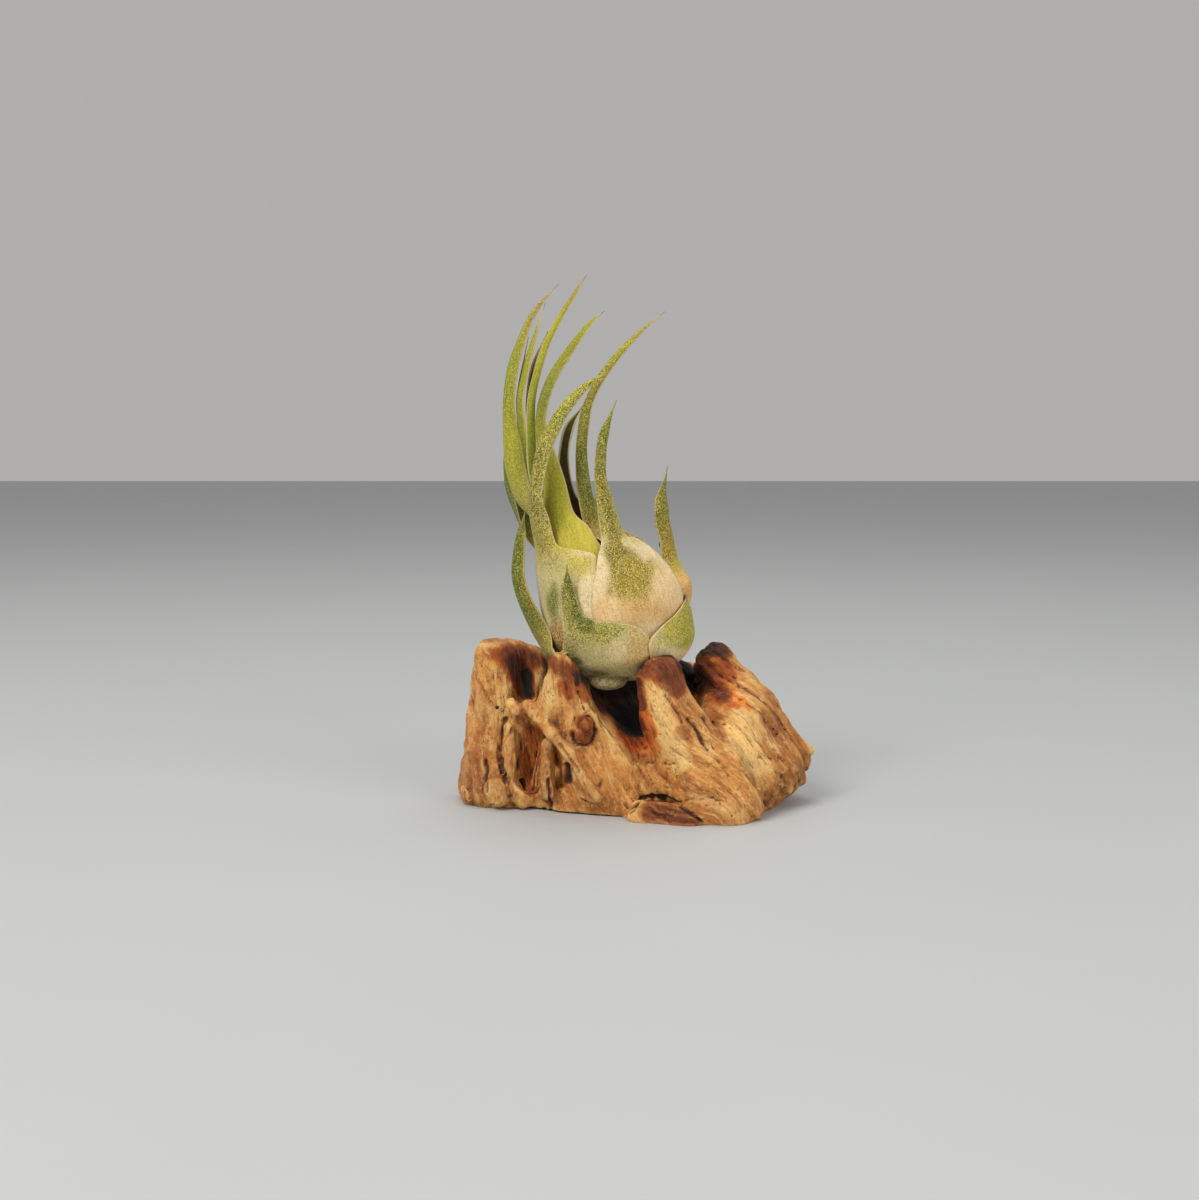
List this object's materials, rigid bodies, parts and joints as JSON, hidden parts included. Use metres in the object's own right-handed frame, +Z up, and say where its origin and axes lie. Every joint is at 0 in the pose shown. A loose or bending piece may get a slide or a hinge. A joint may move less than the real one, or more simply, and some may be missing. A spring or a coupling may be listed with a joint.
{
  "type": "air plant",
  "caption": "Bulbous air plant with overlapping leaf sheaths and long curling tapered leaves, resting in the hollow of a gnarled piece of driftwood that stands flat as its holder.",
  "frame": {"origin": "middle of the bounding box's underside, on the surface the driftwood stands on", "axes": "+X to the right of the front view, +Y to the back, away from the face with the oval slot and the two front lobes, +Z up"},
  "size_m": [0.1506, 0.0912, 0.2183],
  "materials": {
    "driftwood": "satin",
    "stem": "matte",
    "leaf_scurf": "matte",
    "leaf_yellow": "matte",
    "leaf_olive": "matte",
    "leaf_pale": "matte",
    "leaf_tan": "matte",
    "leaf_fresh": "matte",
    "leaf_dark_green": "matte"
  },
  "bodies": {
    "root": {"driftwood": "driftwood", "stem": "stem", "leaf_low_front": "leaf_scurf", "leaf_low_right": "leaf_yellow", "leaf_low_left": "leaf_olive", "leaf_back_low": "leaf_scurf", "leaf_front_centre": "leaf_pale", "leaf_right": "leaf_tan", "leaf_front_left": "leaf_scurf", "leaf_back_right": "leaf_olive", "leaf_back_left": "leaf_olive", "leaf_long_tip": "leaf_fresh", "leaf_yellow": "leaf_yellow", "leaf_dark": "leaf_dark_green", "leaf_bunch_outer": "leaf_fresh", "leaf_bunch_mid": "leaf_fresh", "leaf_bunch_sliver": "leaf_fresh", "leaf_bunch_tall": "leaf_fresh", "leaf_bunch_dark": "leaf_dark_green"}
  },
  "joints": []
}
